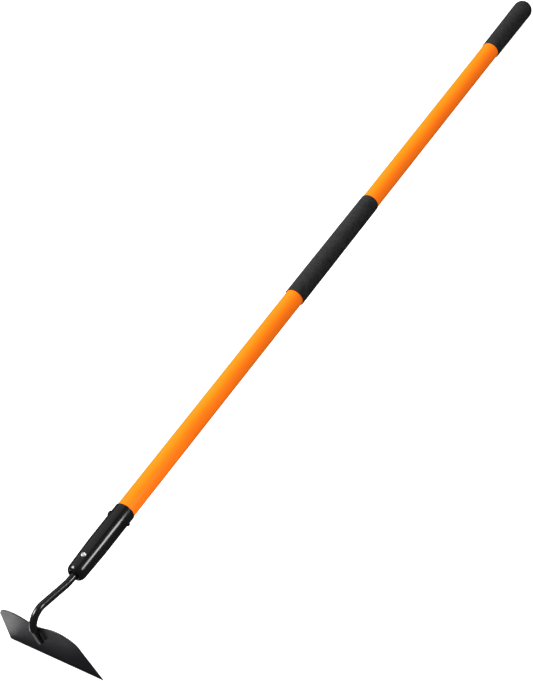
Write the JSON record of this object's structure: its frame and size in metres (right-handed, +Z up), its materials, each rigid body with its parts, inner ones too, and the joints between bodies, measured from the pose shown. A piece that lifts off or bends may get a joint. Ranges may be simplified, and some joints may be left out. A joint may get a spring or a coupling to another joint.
{
  "type": "hoe",
  "caption": "Garden hoe: flat bevelled blade welded to a bent round bar, held in a steel ferrule on a long tubular handle with a foam sleeve and a domed foam end grip.",
  "frame": {"origin": "floor level under the middle of the hoe's box, with the hoe lying on its cutting edge and the dome of its end grip", "axes": "+X towards the end grip, +Y across the blade, +Z up; the blade's outer face looks towards -X"},
  "size_m": [1.5472, 0.1602, 0.1359],
  "materials": {
    "blade_paint": "satin dark grey paint",
    "black_paint": "gloss black paint",
    "orange_paint": "semi-gloss orange paint",
    "bright_zinc": "bright zinc plate",
    "grip_foam": "matte fine-celled foam rubber",
    "plug_plastic": "matte moulded plastic",
    "core_wood": "plain turned wood"
  },
  "bodies": {
    "root": {"blade": "blade_paint", "weld_bead_right": "black_paint", "weld_bead_left": "black_paint", "gooseneck": "black_paint", "ferrule": "black_paint", "tang_core": "core_wood", "lower_rivet": "bright_zinc", "upper_rivet": "black_paint", "lower_tube": "orange_paint", "upper_tube": "orange_paint", "joint_pin_1": "bright_zinc", "joint_pin_2": "bright_zinc", "mid_grip": "grip_foam", "end_grip": "grip_foam", "tube_plug": "plug_plastic"}
  },
  "joints": []
}
